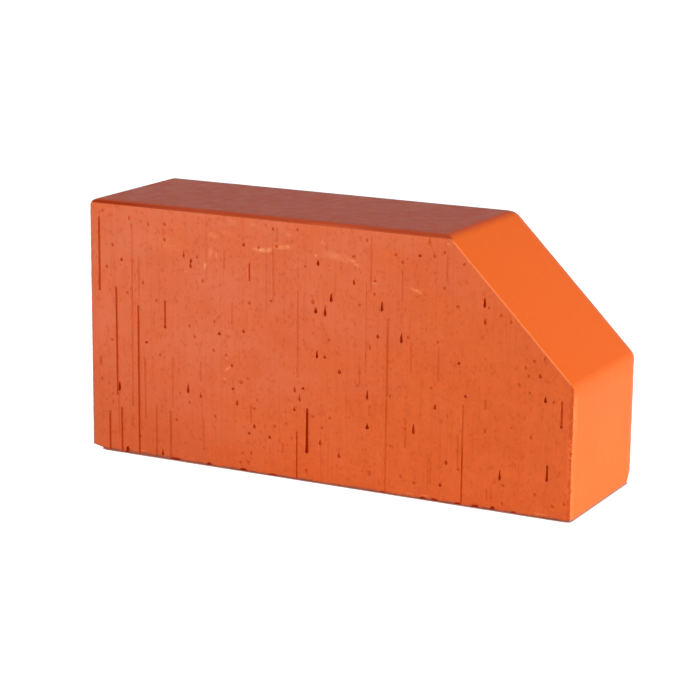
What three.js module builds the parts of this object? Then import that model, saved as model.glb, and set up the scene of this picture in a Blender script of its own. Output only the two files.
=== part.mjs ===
// A solid facing brick with one corner cut off at a slant, standing on its long narrow face.
//
// Stiff clay is pushed through a die whose opening is the brick's outline, so the outline's
// corners are round and the narrow faces are smooth. A wire then cuts the column into bricks from
// the top down. Both large faces are left by the wire: their edges are rolled soft where it goes
// in, and nearly sharp where it comes out.
//
// Millimetres. X runs along the brick, Y through it from one wire-cut face to the other, and Z up.
// The origin is in the middle of the face that the brick stands on.

import * as THREE from 'three';
import { toCreasedNormals } from 'three/addons/utils/BufferGeometryUtils.js';

// The brick's own sizes.
const LENGTH = 240;
const HEIGHT = 118;
const THICKNESS = 71;

// The slanted face at the top of the +X end takes half the height off that end, at 45 degrees.
const CUT_ALONG_TOP = 59;
const CUT_DOWN_END = 59;

// Corners of the outline, as the die rounds them: the two at the foot, the one at the top of the
// -X end, and the two where the slanted face meets the top and the +X end.
const FOOT_CORNER_RADIUS = 1.2;
const TOP_CORNER_RADIUS = 3.3;
const SLANT_TOP_CORNER_RADIUS = 7.5;
const SLANT_END_CORNER_RADIUS = 5;

// Edges of the two wire-cut faces: along the top, down the ends and along the bottom.
const WIRE_ENTRY_EDGE_RADIUS = 1.5;
const SIDE_EDGE_RADIUS = 0.5;
const WIRE_EXIT_EDGE_RADIUS = 0.35;

// An edge takes the radius of the top or the bottom only as far as it faces that way: a slanted
// edge leans towards the wire less than its slope says.
const EDGE_BLEND_POWER = 4;

// How finely the round stretches are faceted.
const CORNER_FACET_ANGLE = THREE.MathUtils.degToRad(7.5);
const EDGE_FACETS = 6;

// A corner's curve leaves at least a tenth of each straight face beside it.
const LARGEST_SHARE_OF_FACE = 0.45;

/** The die's opening with sharp corners, counter-clockwise from the bottom of the -X end. */
function dieCorners() {
  const left = -LENGTH / 2;
  const right = LENGTH / 2;
  return [
    { at: new THREE.Vector2(left, 0), radius: FOOT_CORNER_RADIUS },
    { at: new THREE.Vector2(right, 0), radius: FOOT_CORNER_RADIUS },
    { at: new THREE.Vector2(right, HEIGHT - CUT_DOWN_END), radius: SLANT_END_CORNER_RADIUS },
    { at: new THREE.Vector2(right - CUT_ALONG_TOP, HEIGHT), radius: SLANT_TOP_CORNER_RADIUS },
    { at: new THREE.Vector2(left, HEIGHT), radius: TOP_CORNER_RADIUS },
  ];
}

/** Rounds the corner at `at` between two straight faces: points along the arc, with their normals. */
function roundedCorner(before, at, after, wantedRadius) {
  const arriving = new THREE.Vector2().subVectors(at, before);
  const leaving = new THREE.Vector2().subVectors(after, at);
  const turn = Math.atan2(arriving.cross(leaving), arriving.dot(leaving));

  const shorterFace = Math.min(arriving.length(), leaving.length());
  const largestRadius = (LARGEST_SHARE_OF_FACE * shorterFace) / Math.tan(turn / 2);
  const radius = Math.min(wantedRadius, largestRadius);

  const firstNormal = new THREE.Vector2(arriving.y, -arriving.x).normalize();
  const centre = at.clone()
    .addScaledVector(arriving.normalize(), -radius * Math.tan(turn / 2))
    .addScaledVector(firstNormal, -radius);

  const facets = Math.max(1, Math.round(turn / CORNER_FACET_ANGLE));
  return Array.from({ length: facets + 1 }, (_, index) => {
    const normal = firstNormal.clone().rotateAround(new THREE.Vector2(), (turn * index) / facets);
    return { point: centre.clone().addScaledVector(normal, radius), normal, radius };
  });
}

/** The die's opening with its corners rounded. */
function dieOutline() {
  const corners = dieCorners();
  return corners.flatMap(({ at, radius }, index) => {
    const before = corners.at(index - 1).at;
    const after = corners[(index + 1) % corners.length].at;
    return roundedCorner(before, at, after, radius);
  });
}

/** How far the edge of a wire-cut face is rounded where the outline faces along `normal`. */
function edgeRadius({ normal, radius: cornerRadius }) {
  const upright = normal.y;
  const endRadius = upright > 0 ? WIRE_ENTRY_EDGE_RADIUS : WIRE_EXIT_EDGE_RADIUS;
  const share = Math.abs(upright) ** EDGE_BLEND_POWER;
  const wanted = THREE.MathUtils.lerp(SIDE_EDGE_RADIUS, endRadius, share);
  return Math.min(wanted, cornerRadius, THICKNESS / 2);
}

/**
 * One ring round the brick, on the edge of the wire-cut face that `side` points to.
 * A roll of 0 lies in the wire-cut face and a quarter turn lies in the smooth faces.
 */
function edgeRing(outline, side, roll) {
  return outline.map((station) => {
    const { point, normal } = station;
    const radius = edgeRadius(station);
    const inset = radius * (1 - Math.sin(roll));
    const depth = THICKNESS / 2 - radius * (1 - Math.cos(roll));
    return new THREE.Vector3(
      point.x - normal.x * inset,
      side * depth,
      point.y - normal.y * inset,
    );
  });
}

/** All rings from the near wire-cut face to the far one. */
function brickRings(outline) {
  const rolls = Array.from({ length: EDGE_FACETS + 1 }, (_, index) => (Math.PI / 2) * (index / EDGE_FACETS));
  const near = rolls.map((roll) => edgeRing(outline, -1, roll));
  const far = rolls.map((roll) => edgeRing(outline, 1, roll)).reverse();
  return [...near, ...far];
}

/** Skins the rings and closes both ends, with every face pointing out. */
function loftRings(rings) {
  const count = rings[0].length;
  const faces = [];

  for (let ring = 0; ring < rings.length - 1; ring++) {
    for (let here = 0; here < count; here++) {
      const next = (here + 1) % count;
      const near = ring * count;
      const far = near + count;
      faces.push(near + here, far + here, far + next);
      faces.push(near + here, far + next, near + next);
    }
  }

  const faceOutline = rings[0].map((vertex) => new THREE.Vector2(vertex.x, vertex.z));
  const lastRing = (rings.length - 1) * count;
  for (const [a, b, c] of THREE.ShapeUtils.triangulateShape(faceOutline, [])) {
    faces.push(a, b, c);
    faces.push(lastRing + a, lastRing + c, lastRing + b);
  }

  const geometry = new THREE.BufferGeometry().setFromPoints(rings.flat());
  geometry.setIndex(faces);
  return geometry;
}

function makeBrick() {
  const solid = loftRings(brickRings(dieOutline()));
  const shaded = toCreasedNormals(solid, THREE.MathUtils.degToRad(30));
  const firedClay = new THREE.MeshStandardMaterial({ color: 0xdb6a40, roughness: 0.9, metalness: 0 });
  const brick = new THREE.Mesh(shaded, firedClay);
  brick.name = 'brick';
  return brick;
}

const model = new THREE.Group();
model.add(makeBrick());

export default model;
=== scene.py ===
"""A wire-cut facing brick with one corner cut off, finished over its solid. Metres, +Z up.

The solid gives the outline, the die's round corners and the rolled edges. Here its skin is scored
into a fine mesh, and gets what the wire and the kiln leave: drag marks, grit pits, torn lower
edges, and the colours of fired clay, into which painted shade, light and sheen are laid too.
"""

import math
import random

import bpy
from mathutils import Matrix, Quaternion, Vector


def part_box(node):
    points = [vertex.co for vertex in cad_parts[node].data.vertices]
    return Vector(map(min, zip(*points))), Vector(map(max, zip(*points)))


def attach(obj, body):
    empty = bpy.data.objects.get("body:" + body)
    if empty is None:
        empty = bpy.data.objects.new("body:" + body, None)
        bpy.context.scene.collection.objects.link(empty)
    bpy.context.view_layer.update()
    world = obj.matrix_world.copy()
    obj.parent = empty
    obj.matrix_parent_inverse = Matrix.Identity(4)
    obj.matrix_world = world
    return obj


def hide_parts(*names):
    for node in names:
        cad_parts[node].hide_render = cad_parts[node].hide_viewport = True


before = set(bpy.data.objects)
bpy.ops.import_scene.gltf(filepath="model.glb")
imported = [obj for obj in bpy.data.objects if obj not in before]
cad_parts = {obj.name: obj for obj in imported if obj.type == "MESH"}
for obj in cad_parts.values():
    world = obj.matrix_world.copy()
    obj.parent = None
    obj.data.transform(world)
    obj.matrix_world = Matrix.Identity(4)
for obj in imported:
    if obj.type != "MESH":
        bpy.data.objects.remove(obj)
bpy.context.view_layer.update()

MM = 0.001
LOW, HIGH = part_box("brick")
NEAR = LOW.y
FAR = HIGH.y
TOP = HIGH.z
RIGHT = HIGH.x
LEFT = LOW.x

# X and Z add up to this on the slanted face, which takes off half the height at 45 degrees.
CUT_SUM = RIGHT + TOP / 2

# Camera: where it aims from the middle of the near face's foot, its turn, and its distance.
AIM = Vector((14.6 * MM, NEAR, 62.8 * MM))
CAMERA_TURN = math.radians(27.25)
CAMERA_RISE = math.radians(13.35)
CAMERA_TILT = math.radians(0.59)
CAMERA_DISTANCE = 1.034
LENS_MM = 121.9
SENSOR_MM = 36.0

# Skin of the brick. Points closer than WELD are one point, and edges longer than LONG_EDGE are
# divided on the wire-cut faces and within EDGE_REACH of them.
WELD = 0.001 * MM
FLAT_WITHIN = math.radians(0.5)
SMOOTH_WITHIN = math.radians(32)
SCORE_STEP = 4 * MM
NEAR_FACE_CUTS = 3
FAR_FACE_CUTS = 1
EDGE_REACH = 1.9 * MM
LONG_EDGE = 1.5 * MM
LEAST_WEIGHT = 0.001

# Distances from a wire-cut face, a foot edge or an end edge, up to which the skin moves fully
# with the noise below, and past which it does not move.
WIRE_FACE_FADE = (0.2 * MM, 2.5 * MM)
LOWER_EDGE_FADE = (0.3 * MM, 2.2 * MM)
END_EDGE_FADE = (0.5 * MM, 2.4 * MM)

# How ragged the end edges are: all over, how much more on the near side below the cut, and how
# much more again in the upper part of that stretch; and the heights between which these two fade.
END_WEAR = 0.2
BELOW_CUT_WEAR = 0.2
UPPER_WEAR = 0.4
BELOW_CUT_FADE = (34 * MM, 37 * MM)
UPPER_FADE = (22 * MM, 17 * MM)

# Noise that pushes the skin in: depth, size of its lumps, octaves, where, and its own place.
SKIN_NOISE = {
    "wire_waves": (0.12 * MM, (9 * MM, 60 * MM, 90 * MM), 1, "wire_faces"),
    "wire_dents": (0.08 * MM, (14 * MM, 60 * MM, 11 * MM), 2, "wire_faces", (3 * MM, 0, 5 * MM)),
    "lower_tears": (0.2 * MM, (1.6 * MM, 2 * MM, 2 * MM), 2, "lower_edges"),
    "end_nicks": (1.2 * MM, (2 * MM, 2 * MM, 1.8 * MM), 2, "end_edges"),
}

# Marks' shapes, 2 long and 2 wide: the heights above which each is narrowed, and by how much; and
# its noise: depth, size of the lumps, and octaves.
DROP_TAPER = ((0.1, 0.45, 0.75), 0.82)
DROP_BLUNT = 0.45
DROP_NOISE = (0.4, (0.7, 0.7, 0.7), 1)
DRAG_TAPER = ((0.8, 0.93, 0.99), 0.85)
DRAG_NOISE = (0.5, (1.2, 1.2, 0.12), 2)
DRAG_CUTS = 27
GOUGE_TAPER = ((-0.7, -0.3, 0.1, 0.5), 0.92)
CRUMB_NOISE = (0.5, (0.8, 0.8, 0.8), 1)
TEAR_NOISE = (0.6, (2.0, 2.0, 0.045), 2)
TEAR_CUTS = 140
BREAK_NOISE = (0.18, (0.5, 0.5, 0.5), 2)
BREAK_CUTS = 7
VARIANT_STEP = (3.7, 1.3, 2.1)

# Kinds of mark: how much wider than what caught in the wire, because their rims crumble, and how
# deep as a share of half the width. Pits are lengthened by PIT_WIDENING as well.
FAINT = (2.7, 0.17)
FINE = (2.7, 0.24)
DEEP = (1.9, 0.42)
GOUGED = (1.9, 1.0)
SHALLOW = (1.45, 0.5)
ROUND = (1.7, 0.75)
LARGE = (1.7, 0.85)
PIT_WIDENING = 1.45

# Pits that cover more than this, in square mm, were torn deep.
LARGE_PIT = 2.7

# The waves have pushed the skin in, so the marks' shapes are made this much deeper.
SKIN_SINK = 0.12 * MM

# Chance: its seed, how much it varies a drag's width, and how far it leans the marks, in radians.
SEED = 71
WIDTH_SPREAD = (0.9, 1.1)
DRAG_LEAN = 0.003
CHIP_LEAN = 0.2
CRUMB_LEAN = 0.4

# Small pits scattered over the wire-cut faces: how many, how far off the edges and off the slant;
# their least half width in mm, what chance adds to it, and how seldom it adds much; and how much
# longer than wide they are.
NEAR_SMALL_PITS = 300
FAR_SMALL_PITS = 160
EDGE_MARGIN = 3 * MM
SLANT_MARGIN = 2 * MM
PIT_LEAST = 0.15
PIT_MORE = 0.25
PIT_RARITY = 3
PIT_STRETCH = (1.0, 2.4)

# Drags of the far face: how many, where along it, and their tops, lengths and half widths in mm.
FAR_DRAG_COUNT = 26
FAR_DRAG_REACH = (LEFT + 5 * MM, RIGHT - 62 * MM)
FAR_DRAG_TOPS = (25, 112)
FAR_DRAG_LENGTHS = (8, 60)
FAR_DRAG_HALVES = (0.13, 0.2, 0.3)
FAR_DRAG_DEPTH = 0.5
FAR_DRAG_FOOT = 1 * MM

# The torn line along the foot of a wire-cut face, in mm: the marks' heights are measured from its
# top. Drags that end no higher than OPEN_FOOT run out at BELOW_FOOT.
FOOT_LINE = 1.2
OPEN_FOOT = 2
BELOW_FOOT = -1

# The tear itself: its depth, how far it stops short of both ends, and how far the near one is set
# towards the cut end, because of the broken corner.
TEAR_DEPTH = 0.55 * MM
TEAR_STOP = 3.2 * MM
NEAR_TEAR_SHIFT = 2.6 * MM

# Chips of the foot: their depth as a share of their height, and how much higher they are made, in
# mm, to reach past the torn line. CRUMB_INSET is how far in from the near face the crumbs of the
# upright arris sit.
CHIP_DEPTH = 0.8
CHIP_RISE = 0.9
CRUMB_INSET = 0.1 * MM

# Blocks that break off two foot corners: half size, place and turn, or the way the break faces
# and how far in from the corner the block sits.
NEAR_BREAK_HALF = (5 * MM, 12 * MM, 2 * MM)
NEAR_BREAK_PLACE = (LEFT + 0.7 * MM, NEAR + 2 * MM, -0.25 * MM)
NEAR_BREAK_TURN = math.radians(12)
NEAR_BREAK_LEAN = math.radians(-12)
FAR_BREAK_HALF = (7 * MM, 7 * MM, 2 * MM)
FAR_BREAK_FACING = Vector((1 / 5, 1 / 4.5, -1 / 6)).normalized()
FAR_BREAK_INSET = 1.3 * MM

# Drag marks of the near face: distance from its middle, height of the top and of the foot, and
# width, in mm.
GOUGES = ((-6.5, 32.5, 12, 1.2), (108.8, 22.5, 15.5, 0.85))
DEEP_DRAGS = (
    (-115, 109, 74.5, 0.95), (-94.3, 69.8, 2, 0.85), (-80, 73.5, 61, 0.8), (114.7, 51.5, 39.7, 0.8),
    (-106, 77, 26, 0.75), (-103.7, 20.5, 2, 0.8), (-110.3, 18, 1, 0.9),
    (-36, 95, 87, 0.7), (-11.6, 21, 1, 0.6), (69.2, 26.5, 2, 0.65),
)
FINE_DRAGS = (
    (32.7, 77.5, 43, 0.6), (32.5, 42, 2, 0.5), (-77.4, 22, 2, 0.75), (69.2, 44, 2, 0.5),
    (-85, 24, 2, 0.5), (79.6, 47.4, 43.4, 0.6),
)
FAINT_DRAGS = (
    (-11.5, 85, 46, 0.6), (24.5, 112, 88, 0.5), (-97.6, 107, 22, 0.65), (-91, 45, 17, 0.5),
    (-76.3, 47, 24, 0.55), (53, 18, 6, 0.65),
    (-94, 92, 74, 0.5), (-60, 21, 6, 0.45), (-24, 103, 78, 0.5),
    (-22.2, 112, 106, 0.7), (22.2, 92, 52, 0.18), (57, 67, 53, 0.5), (44, 68, 55, 0.6),
    (39.5, 100, 86, 0.45), (19.3, 55, 46, 0.5), (41.8, 34, 21, 0.6), (67, 30, 15, 0.5),
    (54.2, 17, 7, 0.45), (83, 9, 4, 0.5), (-35.2, 31, 22, 0.45), (-61.4, 47, 38, 0.5),
    (-45, 76, 64, 0.45), (-49, 100, 92, 0.4), (24.3, 38, 33, 0.7), (-105.3, 28, 8, 0.5),
    (-97.8, 17, 12, 0.5), (-19, 15, 10.5, 0.6), (60.5, 108, 97, 0.4), (81, 8, 3, 0.4),
)

# Grit pits of the near face: distance from its middle, height of the centre, width and length,
# in mm.
DEEP_PITS = (
    (-66.1, 93.4, 1.0, 1.8), (-66.4, 91.2, 1.1, 2.4), (-70, 95.8, 0.9, 2.8), (-103, 90.3, 1.2, 1.5),
    (-1.5, 98.8, 1.1, 2.6), (-2.5, 77.4, 1.3, 2.6), (2.1, 77.7, 1.1, 4.4), (16.2, 92, 1.0, 2.2),
    (29.8, 82.8, 1.0, 4.2), (5, 84, 1.2, 3.6), (39.4, 69.8, 1.1, 4.0), (28, 69.3, 1.3, 1.7),
    (-1.8, 57.7, 1.1, 3.2), (9.4, 51.2, 1.4, 1.7), (47.7, 106.8, 1.5, 1.1), (78.3, 89.7, 1.1, 4.0),
    (78.7, 81.5, 0.9, 2.8), (104.4, 61, 1.2, 1.8), (66.8, 62, 1.1, 1.4), (107.2, 51, 1.1, 2.6),
    (70.3, 47.9, 1.2, 1.3), (23.4, 28.2, 1.4, 2.3), (0.1, 17.9, 0.9, 2.6), (9.5, 13.2, 1.2, 2.2),
    (61.7, 17.4, 1.1, 2.0), (59.1, 6.8, 1.3, 1.5), (56, 41.4, 1.1, 2.0), (-104.8, 30.5, 1.3, 4.0),
    (-68, 34, 1.0, 4.2), (-61.3, 31.5, 1.0, 2.0), (-51.4, 61.4, 1.3, 1.5), (-39, 64, 1.2, 1.6),
    (-42.3, 30.5, 1.1, 2.4), (-33.3, 20.7, 1.3, 1.8), (-25.4, 16.8, 1.4, 1.2),
    (-36, 17.2, 1.2, 1.2), (-45, 47.5, 1.1, 1.5), (-44.5, 36.8, 1.1, 1.4), (-12.8, 40.5, 0.9, 2.8),
    (-8.6, 41.4, 1.2, 1.3), (-10.4, 36.8, 0.9, 2.8), (-13, 31.4, 1.1, 1.8),
    (-38.8, 103.2, 1.1, 1.5), (45.8, 30.2, 0.9, 4.6), (87, 15.2, 0.9, 4.2), (23.3, 42.4, 0.9, 4.0),
    (-81.8, 2.0, 0.9, 3.4), (-80, 61.5, 1.3, 1.8), (-6.6, 13.2, 1.3, 2.6), (114.7, 40.6, 1.1, 2.2),
    (-94, 8.4, 1.1, 1.8), (2.1, 57, 1.3, 1.3), (-90, 53, 1.3, 1.1), (-100.6, 1.2, 1.5, 2.2),
)
SHALLOW_PITS = (
    (-63, 95, 1.0, 1.2), (-67, 63, 1.1, 1.4), (-64.4, 58.3, 1.1, 1.4), (-114.4, 33, 1.2, 1.4),
    (-82.8, 47.7, 1.1, 1.4), (-107.7, 96.5, 1.2, 1.5), (-100, 75, 1.2, 1.3), (-84.5, 73, 1.2, 1.4),
    (-91.5, 80.5, 0.9, 2.0), (-74, 18.3, 1.2, 1.3), (-67.2, 27.3, 1.0, 2.0),
    (-108.6, 26.5, 1.2, 1.1), (-108.5, 22.5, 0.9, 2.0), (-8, 96.5, 1.1, 1.2), (-4, 81, 1.5, 1.9),
    (22.3, 111, 1.0, 1.6), (16, 103.3, 1.6, 1.0), (36.2, 106, 1.4, 1.2), (54.6, 107.2, 1.2, 1.5),
    (59.3, 109.3, 1.2, 1.3), (26.4, 93.5, 1.3, 1.0), (26.2, 87.7, 1.2, 1.0), (19, 82, 1.3, 1.2),
    (42.7, 70.2, 1.3, 1.4), (24.3, 63.7, 0.8, 2.6), (4, 64.8, 1.2, 1.4), (59.4, 93.8, 1.1, 1.5),
    (68.5, 105, 1.5, 1.1), (65.8, 86.5, 1.5, 1.4), (86, 84.9, 1.4, 1.1), (90.7, 82.5, 1.0, 1.7),
    (101.8, 67, 1.3, 1.1), (97.8, 63.7, 1.0, 1.5), (106.4, 68.7, 0.9, 1.9), (99.3, 60.2, 1.2, 1.4),
    (18.2, 46, 1.0, 1.3), (34.3, 43.3, 1.0, 1.9), (54, 49.3, 1.2, 1.2), (1, 24.5, 1.3, 1.2),
    (4.8, 29.5, 1.1, 1.4), (41.9, 29.5, 1.2, 1.2), (40, 7.9, 1.0, 2.0), (46.5, 5.8, 1.2, 1.5),
    (24.8, 7, 0.9, 3.2), (79.7, 33.7, 1.2, 1.5), (101, 33.8, 1.0, 2.0), (67.6, 14.8, 1.1, 1.5),
    (88.5, 10.8, 1.2, 1.2), (88.5, 2.8, 1.2, 1.4), (103.6, 9, 1.4, 1.1), (111.8, 4.8, 1.4, 1.0),
    (117, 6.5, 1.0, 1.5), (110.8, 50.4, 1.0, 1.2), (94.9, 56, 0.9, 1.6), (-54.4, 53.3, 1.0, 1.5),
    (-48, 51.7, 1.2, 1.3), (-36.8, 42.3, 1.0, 1.3), (-40.2, 40, 1.2, 1.4), (-54, 66.5, 1.1, 1.3),
    (-33.5, 29, 1.5, 1.2), (-23, 22, 1.1, 1.3), (-39.4, 7.5, 1.3, 1.4), (-35, 8, 1.0, 1.7),
    (-36.5, 3.3, 1.2, 1.8), (-40.4, 2.8, 1.4, 1.4), (-6.8, 3.6, 1.6, 2.2), (-3.4, 29, 1.1, 1.3),
    (-25, 79.2, 1.4, 1.2), (-36, 77, 1.3, 1.2), (-53.8, 22.7, 1.2, 1.2), (-24, 111.5, 1.2, 1.5),
    (-111, 86, 1.3, 1.3), (-113, 112, 1.1, 1.2), (-80, 101.5, 1.1, 1.5), (-88.5, 107.5, 1.0, 1.6),
    (-60, 84.5, 1.1, 1.6), (-31.3, 102.5, 1.1, 1.3), (-22.2, 104, 1.3, 1.3),
    (-11.8, 112.3, 1.2, 1.4), (52.2, 113.2, 1.1, 1.8), (80.3, 87.6, 1.0, 1.5),
    (99.8, 52.9, 0.9, 1.2), (56.8, 70, 1.2, 1.6), (39.4, 103, 1.3, 1.3), (-80, 108.5, 1.2, 1.4),
    (-98.6, 109.6, 1.0, 2.1), (-114.9, 41.2, 1.0, 4.6), (-108.6, 52, 1.2, 1.3),
)

# Pieces broken off the lower edge of the near face: distance from its middle, width, height, in mm.
LOWER_CHIPS = (
    (-101, 3, 1.4), (-75, 8, 1.3), (-57, 3.5, 1.5), (-39, 7, 1.2), (-24, 9, 0.8),
    (31, 4, 0.8), (51, 5, 1.0), (56.5, 6, 1.1), (67.4, 5.5, 0.9), (75.7, 5.5, 1.2), (84, 3.4, 1.9),
    (94, 5, 0.9),
)

# Crumbs broken off the upright arris below the cut: height, distance from the end, width and
# height of each, in mm.
ARRIS_CHIPS = (
    (51.0, 0.0, 1.6, 3.0), (44.5, 0.1, 1.5, 2.6), (39.5, 0.2, 1.6, 2.0), (35.6, 0.9, 2.4, 1.5),
    (34.1, 0.7, 2.2, 1.3), (32.2, 0.9, 2.0, 1.7), (30.3, 0.6, 2.6, 1.2), (28.6, 1.1, 1.9, 1.5),
    (26.8, 0.8, 2.3, 1.2), (25.2, 0.9, 1.8, 1.6), (23.1, 0.7, 2.2, 1.4), (21.2, 0.6, 1.8, 1.4),
    (18.6, 0.3, 1.6, 1.6), (14.2, 0.2, 1.8, 2.4), (9.8, 0.3, 1.6, 1.6), (6.0, 0.1, 1.8, 2.4),
    (2.4, 0.4, 2.0, 1.8),
)

# The crumbs at these heights were rubbed pale.
RUBBED_HEIGHTS = (35.6, 34.1, 32.2, 28.6)


# ---------------------------------------------------------------- tools


def deselect_all():
    if bpy.context.object and bpy.context.object.mode != "OBJECT":
        bpy.ops.object.mode_set(mode="OBJECT")
    bpy.ops.object.select_all(action="DESELECT")


def pick(piece):
    """Makes `piece` the one that operators work on."""
    deselect_all()
    piece.select_set(True)
    bpy.context.view_layer.objects.active = piece


def new_piece(name, data):
    piece = bpy.data.objects.new(name, data)
    bpy.context.scene.collection.objects.link(piece)
    return piece


def apply_modifier(piece, modifier):
    pick(piece)
    bpy.ops.object.modifier_apply(modifier=modifier.name)


def push_by_noise(piece, name, depth, size, octaves, group=None, place=(0, 0, 0)):
    """Pushes the surface in by up to `depth` with soft noise of the given size."""
    noise = bpy.data.textures.new(name, "CLOUDS")
    noise.noise_scale = 1.0
    noise.noise_depth = octaves
    scale = new_piece(name + "_scale", None)
    scale.scale = size
    scale.location = place
    bpy.context.view_layer.update()
    push = piece.modifiers.new(name, "DISPLACE")
    push.texture = noise
    push.texture_coords = "OBJECT"
    push.texture_coords_object = scale
    push.strength = depth
    push.mid_level = 1.0
    if group:
        push.vertex_group = group
    apply_modifier(piece, push)
    bpy.data.objects.remove(scale)


def divide_edges(piece, is_chosen, cuts):
    """Divides the edges whose two ends `is_chosen` accepts."""
    pick(piece)
    bpy.context.tool_settings.mesh_select_mode = (False, True, False)
    bpy.ops.object.mode_set(mode="EDIT")
    bpy.ops.mesh.select_all(action="DESELECT")
    bpy.ops.object.mode_set(mode="OBJECT")
    mesh = piece.data
    for edge in mesh.edges:
        start, end = (mesh.vertices[index].co for index in edge.vertices)
        edge.select = is_chosen(start, end)
    bpy.ops.object.mode_set(mode="EDIT")
    bpy.ops.mesh.subdivide(number_cuts=cuts)
    bpy.ops.object.mode_set(mode="OBJECT")


# ---------------------------------------------------------------- the brick's skin


def skin_from_solid():
    """A closed copy of the solid with each flat face in one piece."""
    skin = new_piece("fired_brick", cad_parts["brick"].data.copy())
    skin.data.materials.clear()
    pick(skin)
    bpy.ops.object.mode_set(mode="EDIT")
    bpy.ops.mesh.select_all(action="SELECT")
    bpy.ops.mesh.remove_doubles(threshold=WELD)
    bpy.ops.mesh.select_all(action="SELECT")
    bpy.ops.mesh.dissolve_limited(angle_limit=FLAT_WITHIN)
    bpy.ops.object.mode_set(mode="OBJECT")
    return skin


def score(skin, axis, step):
    """Cuts the skin across by evenly spaced planes, about `step` apart."""
    length = HIGH[axis] - LOW[axis]
    count = round(length / step)
    across = Vector((0, 0, 0))
    across[axis] = 1
    pick(skin)
    bpy.ops.object.mode_set(mode="EDIT")
    for index in range(1, count):
        bpy.ops.mesh.select_all(action="SELECT")
        plane = across * (LOW[axis] + length * index / count)
        bpy.ops.mesh.bisect(plane_co=plane, plane_no=across, threshold=WELD)
    bpy.ops.object.mode_set(mode="OBJECT")


def divide_wire_face(skin, side, cuts):
    """Divides the long edges of one wire-cut face and of its rolled edge."""
    def is_long_and_beside(start, end):
        beside = min(side * start.y, side * end.y) > FAR - EDGE_REACH
        return beside and (start - end).length > LONG_EDGE

    divide_edges(skin, is_long_and_beside, cuts)


def weigh(skin, name, weight_at):
    """A vertex group whose weights are worked out from each vertex's place."""
    group = skin.vertex_groups.new(name=name)
    for vertex in skin.data.vertices:
        weight = weight_at(vertex.co)
        if weight > LEAST_WEIGHT:
            group.add([vertex.index], min(1.0, weight), "REPLACE")


def fade(value, start, end):
    """1 at `start` and beyond, 0 at `end` and beyond, smooth between."""
    share = min(1.0, max(0.0, (value - end) / (start - end)))
    return share * share * (3 - 2 * share)


def on_wire_face(place):
    return fade(FAR - abs(place.y), *WIRE_FACE_FADE)


def on_lower_edge(place):
    return fade(FAR - abs(place.y), *LOWER_EDGE_FADE) * fade(place.z, *LOWER_EDGE_FADE)


def on_end_edge(place):
    """Most ragged between about 20 and 35 mm up, at the near side of the end with the cut."""
    wear = END_WEAR
    if place.x > 0 and place.y < 0:
        more = BELOW_CUT_WEAR + UPPER_WEAR * fade(place.z, *UPPER_FADE)
        wear += more * fade(place.z, *BELOW_CUT_FADE)
    from_end = min(RIGHT - place.x, place.x - LEFT)
    return wear * fade(FAR - abs(place.y), *END_EDGE_FADE) * fade(from_end, *END_EDGE_FADE)


def roughen_skin(skin):
    """The soft waves that the wire leaves, and edges torn where it came out."""
    weigh(skin, "wire_faces", on_wire_face)
    weigh(skin, "lower_edges", on_lower_edge)
    weigh(skin, "end_edges", on_end_edge)
    for name, noise in SKIN_NOISE.items():
        push_by_noise(skin, name, *noise)


# ---------------------------------------------------------------- shapes of the marks


def new_shape(name):
    """Names the shape that was just added."""
    shape = bpy.context.object
    shape.name = name
    return shape


def narrow(shape, heights, factor):
    """Draws a shape in above each of the heights."""
    for height in heights:
        for vertex in shape.data.vertices:
            if vertex.co.z > height:
                vertex.co.x *= factor
                vertex.co.y *= factor


def divide_lengthwise(cylinder, cuts):
    divide_edges(cylinder, lambda start, end: abs(start.z - end.z) > 1, cuts)


def roughen_sides(shape, noise, noise_place):
    """Noise on a lengthwise shape that leaves it as long as it was."""
    heights = [vertex.co.z for vertex in shape.data.vertices]
    push_by_noise(shape, shape.name + "_noise", *noise, place=noise_place)
    for vertex, height in zip(shape.data.vertices, heights):
        vertex.co.z = height


def make_drop(name, noise_place):
    """A pit's shape: pointed where the grit caught and blunt at the foot."""
    deselect_all()
    bpy.ops.mesh.primitive_uv_sphere_add(segments=9, ring_count=8, radius=1)
    drop = new_shape(name)
    narrow(drop, *DROP_TAPER)
    middle = (1 - DROP_BLUNT) / 2
    half = (1 + DROP_BLUNT) / 2
    for vertex in drop.data.vertices:
        below = DROP_BLUNT if vertex.co.z < 0 else 1.0
        vertex.co.z = (vertex.co.z * below - middle) / half
    push_by_noise(drop, name + "_noise", *DROP_NOISE, place=noise_place)
    return drop


def make_drag(name, noise_place):
    """A drag mark's shape, drawn in at the top and blunt at the foot."""
    deselect_all()
    bpy.ops.mesh.primitive_cylinder_add(vertices=7, radius=1, depth=2)
    drag = new_shape(name)
    divide_lengthwise(drag, DRAG_CUTS)
    narrow(drag, *DRAG_TAPER)
    roughen_sides(drag, DRAG_NOISE, noise_place)
    return drag


def make_gouge(name, noise_place):
    """A drag mark that tapers all the way to its top."""
    gouge = make_drag(name, noise_place)
    narrow(gouge, *GOUGE_TAPER)
    return gouge


def make_crumb(name, noise_place):
    """A small round pit or a broken-off crumb."""
    deselect_all()
    bpy.ops.mesh.primitive_ico_sphere_add(subdivisions=2, radius=1)
    crumb = new_shape(name)
    push_by_noise(crumb, name + "_noise", *CRUMB_NOISE, place=noise_place)
    return crumb


def make_foot_tear(name, noise_place):
    """The clay torn away along a foot edge, with a wandering thickness."""
    deselect_all()
    bpy.ops.mesh.primitive_cylinder_add(vertices=8, radius=1, depth=2)
    tear = new_shape(name)
    divide_lengthwise(tear, TEAR_CUTS)
    roughen_sides(tear, TEAR_NOISE, noise_place)
    return tear


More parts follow.
